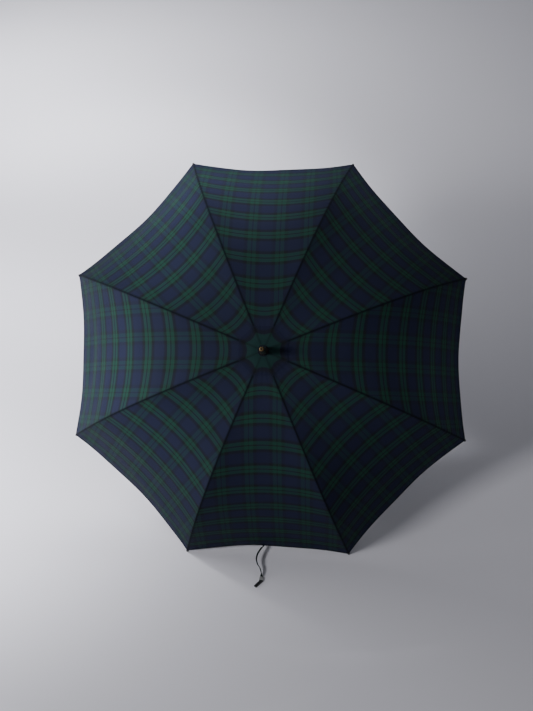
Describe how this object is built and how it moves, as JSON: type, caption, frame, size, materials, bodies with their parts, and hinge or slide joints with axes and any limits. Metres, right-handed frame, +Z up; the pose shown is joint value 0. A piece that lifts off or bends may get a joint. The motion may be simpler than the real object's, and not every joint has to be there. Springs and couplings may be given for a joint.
{
  "type": "stick umbrella",
  "caption": "Open stick umbrella with a domed tartan cover on steel ribs and stretchers, a sliding runner, a wooden shaft and a crook handle.",
  "frame": {"origin": "middle of the bounding box on the floor that the umbrella stands on, with two rib tips and the crook touching it", "axes": "+Z up from the floor, +X along the two standing rib tips, +Y from the cover towards the handle; the ferrule points towards -Y and up"},
  "size_m": [0.8572, 0.731, 0.6919],
  "materials": {
    "black_plastic": "satin",
    "brass": "polished",
    "cover": "woven tartan",
    "dark_wood": "stained and varnished",
    "shaft_wood": "varnished",
    "steel": "black satin",
    "strap": "woven",
    "wire": "satin"
  },
  "bodies": {
    "frame": {"shaft": "shaft_wood", "handle": "dark_wood", "handle_collar": "brass", "ferrule": "dark_wood", "ferrule_ring": "brass", "top_notch": "black_plastic", "notch_wire": "wire", "stop_pin": "wire", "crown_cap": "cover", "rosette": "strap"},
    "runner": {"runner": "black_plastic", "runner_wire": "wire"},
    "top_spring": {"top_spring": "wire"},
    "bottom_spring": {"bottom_spring": "wire"},
    "rib_1_inner": {"rib_1_inner": "steel"},
    "rib_1_outer": {"rib_1_outer": "steel", "rib_tip_1": "black_plastic", "gore_1": "cover"},
    "stretcher_1": {"stretcher_1": "steel"},
    "rib_2_inner": {"rib_2_inner": "steel"},
    "rib_2_outer": {"rib_2_outer": "steel", "rib_tip_2": "black_plastic", "gore_2": "cover"},
    "stretcher_2": {"stretcher_2": "steel"},
    "rib_3_inner": {"rib_3_inner": "steel"},
    "rib_3_outer": {"rib_3_outer": "steel", "rib_tip_3": "black_plastic", "gore_3": "cover"},
    "stretcher_3": {"stretcher_3": "steel"},
    "rib_4_inner": {"rib_4_inner": "steel"},
    "rib_4_outer": {"rib_4_outer": "steel", "rib_tip_4": "black_plastic", "gore_4": "cover"},
    "stretcher_4": {"stretcher_4": "steel"},
    "rib_5_inner": {"rib_5_inner": "steel"},
    "rib_5_outer": {"rib_5_outer": "steel", "rib_tip_5": "black_plastic", "gore_5": "cover"},
    "stretcher_5": {"stretcher_5": "steel"},
    "rib_6_inner": {"rib_6_inner": "steel"},
    "rib_6_outer": {"rib_6_outer": "steel", "rib_tip_6": "black_plastic", "gore_6": "cover", "strap": "strap", "strap_end": "black_plastic"},
    "stretcher_6": {"stretcher_6": "steel"},
    "rib_7_inner": {"rib_7_inner": "steel"},
    "rib_7_outer": {"rib_7_outer": "steel", "rib_tip_7": "black_plastic", "gore_7": "cover"},
    "stretcher_7": {"stretcher_7": "steel"},
    "rib_8_inner": {"rib_8_inner": "steel"},
    "rib_8_outer": {"rib_8_outer": "steel", "rib_tip_8": "black_plastic", "gore_8": "cover"},
    "stretcher_8": {"stretcher_8": "steel"}
  },
  "joints": [
    {"name": "runner_slide", "type": "slide", "parent": "frame", "child": "runner", "axis": [0, 0.7345, -0.6786], "range_m": [0, 0.3476], "deforming": ["top_spring", "bottom_spring"]},
    {"name": "rib_1_hinge", "type": "hinge", "parent": "frame", "child": "rib_1_inner", "pos_m": [0.01155, -0.20565, 0.535], "axis": [-0.3827, 0.6269, 0.6786], "range_deg": [-0.75, 75.97]},
    {"name": "rib_1_flex", "type": "hinge", "parent": "rib_1_inner", "child": "rib_1_outer", "pos_m": [0.22862, -0.11796, 0.57641], "axis": [-0.3827, 0.6269, 0.6786], "range_deg": [-44.51, 0.44], "deforming": ["gore_1"]},
    {"name": "stretcher_1_hinge", "type": "hinge", "parent": "rib_1_inner", "child": "stretcher_1", "pos_m": [0.22862, -0.11796, 0.57641], "axis": [-0.3827, 0.6269, 0.6786], "range_deg": [-135.72, 1.34]},
    {"name": "rib_2_hinge", "type": "hinge", "parent": "frame", "child": "rib_2_inner", "pos_m": [0.00478, -0.20106, 0.53997], "axis": [-0.9239, 0.2597, 0.2811], "range_deg": [-0.75, 75.97]},
    {"name": "rib_2_flex", "type": "hinge", "parent": "rib_2_inner", "child": "rib_2_outer", "pos_m": [0.0947, -0.02709, 0.67477], "axis": [-0.9239, 0.2597, 0.2811], "range_deg": [-44.51, 0.44], "deforming": ["gore_2"]},
    {"name": "stretcher_2_hinge", "type": "hinge", "parent": "rib_2_inner", "child": "stretcher_2", "pos_m": [0.0947, -0.02709, 0.67477], "axis": [-0.9239, 0.2597, 0.2811], "range_deg": [-135.72, 1.34]},
    {"name": "rib_3_hinge", "type": "hinge", "parent": "frame", "child": "rib_3_inner", "pos_m": [-0.00478, -0.20106, 0.53997], "axis": [-0.9239, -0.2597, -0.2811], "range_deg": [-0.75, 75.97]},
    {"name": "rib_3_flex", "type": "hinge", "parent": "rib_3_inner", "child": "rib_3_outer", "pos_m": [-0.0947, -0.02709, 0.67477], "axis": [-0.9239, -0.2597, -0.2811], "range_deg": [-44.51, 0.44], "deforming": ["gore_3"]},
    {"name": "stretcher_3_hinge", "type": "hinge", "parent": "rib_3_inner", "child": "stretcher_3", "pos_m": [-0.0947, -0.02709, 0.67477], "axis": [-0.9239, -0.2597, -0.2811], "range_deg": [-135.72, 1.34]},
    {"name": "rib_4_hinge", "type": "hinge", "parent": "frame", "child": "rib_4_inner", "pos_m": [-0.01155, -0.20565, 0.535], "axis": [-0.3827, -0.6269, -0.6786], "range_deg": [-0.75, 75.97]},
    {"name": "rib_4_flex", "type": "hinge", "parent": "rib_4_inner", "child": "rib_4_outer", "pos_m": [-0.22862, -0.11796, 0.57641], "axis": [-0.3827, -0.6269, -0.6786], "range_deg": [-44.51, 0.44], "deforming": ["gore_4"]},
    {"name": "stretcher_4_hinge", "type": "hinge", "parent": "rib_4_inner", "child": "stretcher_4", "pos_m": [-0.22862, -0.11796, 0.57641], "axis": [-0.3827, -0.6269, -0.6786], "range_deg": [-135.72, 1.34]},
    {"name": "rib_5_hinge", "type": "hinge", "parent": "frame", "child": "rib_5_inner", "pos_m": [-0.01155, -0.21214, 0.52797], "axis": [0.3827, -0.6269, -0.6786], "range_deg": [-0.75, 75.97]},
    {"name": "rib_5_flex", "type": "hinge", "parent": "rib_5_inner", "child": "rib_5_outer", "pos_m": [-0.22862, -0.24649, 0.4373], "axis": [0.3827, -0.6269, -0.6786], "range_deg": [-44.51, 0.44], "deforming": ["gore_5"]},
    {"name": "stretcher_5_hinge", "type": "hinge", "parent": "rib_5_inner", "child": "stretcher_5", "pos_m": [-0.22862, -0.24649, 0.4373], "axis": [0.3827, -0.6269, -0.6786], "range_deg": [-135.72, 1.34]},
    {"name": "rib_6_hinge", "type": "hinge", "parent": "frame", "child": "rib_6_inner", "pos_m": [-0.00478, -0.21673, 0.52301], "axis": [0.9239, -0.2597, -0.2811], "range_deg": [-0.75, 75.97]},
    {"name": "rib_6_flex", "type": "hinge", "parent": "rib_6_inner", "child": "rib_6_outer", "pos_m": [-0.0947, -0.33737, 0.33893], "axis": [0.9239, -0.2597, -0.2811], "range_deg": [-44.51, 0.44], "deforming": ["gore_6", "strap", "strap_end"]},
    {"name": "stretcher_6_hinge", "type": "hinge", "parent": "rib_6_inner", "child": "stretcher_6", "pos_m": [-0.0947, -0.33737, 0.33893], "axis": [0.9239, -0.2597, -0.2811], "range_deg": [-135.72, 1.34]},
    {"name": "rib_7_hinge", "type": "hinge", "parent": "frame", "child": "rib_7_inner", "pos_m": [0.00478, -0.21673, 0.52301], "axis": [0.9239, 0.2597, 0.2811], "range_deg": [-0.75, 75.97]},
    {"name": "rib_7_flex", "type": "hinge", "parent": "rib_7_inner", "child": "rib_7_outer", "pos_m": [0.0947, -0.33737, 0.33893], "axis": [0.9239, 0.2597, 0.2811], "range_deg": [-44.51, 0.44], "deforming": ["gore_7"]},
    {"name": "stretcher_7_hinge", "type": "hinge", "parent": "rib_7_inner", "child": "stretcher_7", "pos_m": [0.0947, -0.33737, 0.33893], "axis": [0.9239, 0.2597, 0.2811], "range_deg": [-135.72, 1.34]},
    {"name": "rib_8_hinge", "type": "hinge", "parent": "frame", "child": "rib_8_inner", "pos_m": [0.01155, -0.21214, 0.52797], "axis": [0.3827, 0.6269, 0.6786], "range_deg": [-0.75, 75.97]},
    {"name": "rib_8_flex", "type": "hinge", "parent": "rib_8_inner", "child": "rib_8_outer", "pos_m": [0.22862, -0.24649, 0.4373], "axis": [0.3827, 0.6269, 0.6786], "range_deg": [-44.51, 0.44], "deforming": ["gore_8"]},
    {"name": "stretcher_8_hinge", "type": "hinge", "parent": "rib_8_inner", "child": "stretcher_8", "pos_m": [0.22862, -0.24649, 0.4373], "axis": [0.3827, 0.6269, 0.6786], "range_deg": [-135.72, 1.34]},
    {"name": "top_spring_press", "type": "hinge", "parent": "frame", "child": "top_spring", "pos_m": [0.004, -0.05351, 0.38793], "axis": [0, -0.6786, -0.7345], "range_deg": [0, 9], "stiffness_Nm_per_rad": 0.5, "springref_deg": -2.86},
    {"name": "bottom_spring_press", "type": "hinge", "parent": "frame", "child": "bottom_spring", "pos_m": [0.004, 0.16082, 0.18991], "axis": [0, 0.6786, 0.7345], "range_deg": [0, 9], "stiffness_Nm_per_rad": 0.5, "springref_deg": -2.86}
  ],
  "couplings": [
    {"joint": "rib_1_hinge", "follows": "runner_slide", "rad_per_m": 3.7767},
    {"joint": "rib_1_flex", "follows": "runner_slide", "rad_per_m": -2.2128},
    {"joint": "stretcher_1_hinge", "follows": "runner_slide", "rad_per_m": -6.7472},
    {"joint": "rib_2_hinge", "follows": "runner_slide", "rad_per_m": 3.7767},
    {"joint": "rib_2_flex", "follows": "runner_slide", "rad_per_m": -2.2128},
    {"joint": "stretcher_2_hinge", "follows": "runner_slide", "rad_per_m": -6.7472},
    {"joint": "rib_3_hinge", "follows": "runner_slide", "rad_per_m": 3.7767},
    {"joint": "rib_3_flex", "follows": "runner_slide", "rad_per_m": -2.2128},
    {"joint": "stretcher_3_hinge", "follows": "runner_slide", "rad_per_m": -6.7472},
    {"joint": "rib_4_hinge", "follows": "runner_slide", "rad_per_m": 3.7767},
    {"joint": "rib_4_flex", "follows": "runner_slide", "rad_per_m": -2.2128},
    {"joint": "stretcher_4_hinge", "follows": "runner_slide", "rad_per_m": -6.7472},
    {"joint": "rib_5_hinge", "follows": "runner_slide", "rad_per_m": 3.7767},
    {"joint": "rib_5_flex", "follows": "runner_slide", "rad_per_m": -2.2128},
    {"joint": "stretcher_5_hinge", "follows": "runner_slide", "rad_per_m": -6.7472},
    {"joint": "rib_6_hinge", "follows": "runner_slide", "rad_per_m": 3.7767},
    {"joint": "rib_6_flex", "follows": "runner_slide", "rad_per_m": -2.2128},
    {"joint": "stretcher_6_hinge", "follows": "runner_slide", "rad_per_m": -6.7472},
    {"joint": "rib_7_hinge", "follows": "runner_slide", "rad_per_m": 3.7767},
    {"joint": "rib_7_flex", "follows": "runner_slide", "rad_per_m": -2.2128},
    {"joint": "stretcher_7_hinge", "follows": "runner_slide", "rad_per_m": -6.7472},
    {"joint": "rib_8_hinge", "follows": "runner_slide", "rad_per_m": 3.7767},
    {"joint": "rib_8_flex", "follows": "runner_slide", "rad_per_m": -2.2128},
    {"joint": "stretcher_8_hinge", "follows": "runner_slide", "rad_per_m": -6.7472}
  ]
}
